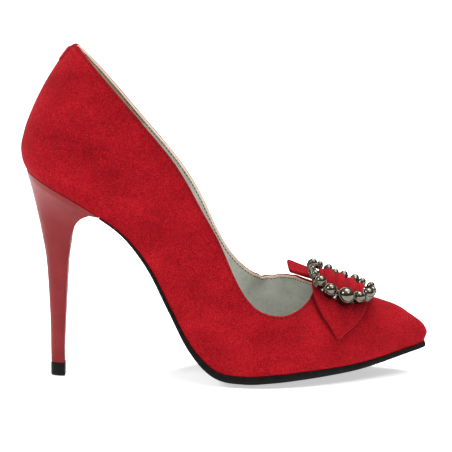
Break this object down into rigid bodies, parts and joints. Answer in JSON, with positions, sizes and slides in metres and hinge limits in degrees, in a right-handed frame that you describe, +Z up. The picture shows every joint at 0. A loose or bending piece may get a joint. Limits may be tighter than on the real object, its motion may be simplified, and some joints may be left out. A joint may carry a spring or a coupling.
{
  "type": "high heel pump",
  "caption": "Pointed court shoe for the right foot with a slim high heel and a bow held by an oval ring of beads.",
  "frame": {"origin": "on the floor, under the middle of the shoe's bounding box", "axes": "+X from the heel to the toe, +Y to the inner (medial) side of the foot, +Z up from the floor"},
  "size_m": [0.2052, 0.0758, 0.1689],
  "materials": {
    "suede": "napped suede, mottled bright red",
    "thread": "fine sewing thread, dark red",
    "lining_leather": "smooth pearl grey lining leather",
    "grip_leather": "reversed lining leather, khaki beige",
    "tape": "woven reinforcing tape",
    "counter_board": "moulded fibre board",
    "puff_sheet": "thermoplastic stiffener sheet",
    "insole_board": "pressed insole board",
    "felt": "pressed felt",
    "foam": "latex foam",
    "sole_rubber": "black resin sole, matte tread and polished edge",
    "lift_rubber": "hard black top piece",
    "heel_lacquer": "satin red lacquer over moulded plastic",
    "steel": "plain steel",
    "gunmetal": "polished gunmetal plating"
  },
  "bodies": {
    "root": {"upper": "suede", "back_tab": "suede", "bow_wing_lateral": "suede", "bow_wing_medial": "suede", "bow_pleats": "suede", "bow_backing": "suede", "topline_stitching": "thread", "vamp_lining": "lining_leather", "sock_lining": "lining_leather", "heel_grip_lining": "grip_leather", "topline_tape": "tape", "heel_counter": "counter_board", "toe_puff": "puff_sheet", "insole_board": "insole_board", "bottom_filler": "felt", "foam_pad": "foam", "outsole": "sole_rubber", "top_lift": "lift_rubber", "heel_block": "heel_lacquer", "shank": "steel", "shank_rivets": "steel", "heel_tube": "steel", "top_lift_pin": "steel", "heel_screw": "steel", "heel_nails": "steel", "ring_plate": "gunmetal", "ring_cups": "gunmetal", "ring_beads": "gunmetal", "ring_accent_beads": "gunmetal"}
  },
  "joints": []
}
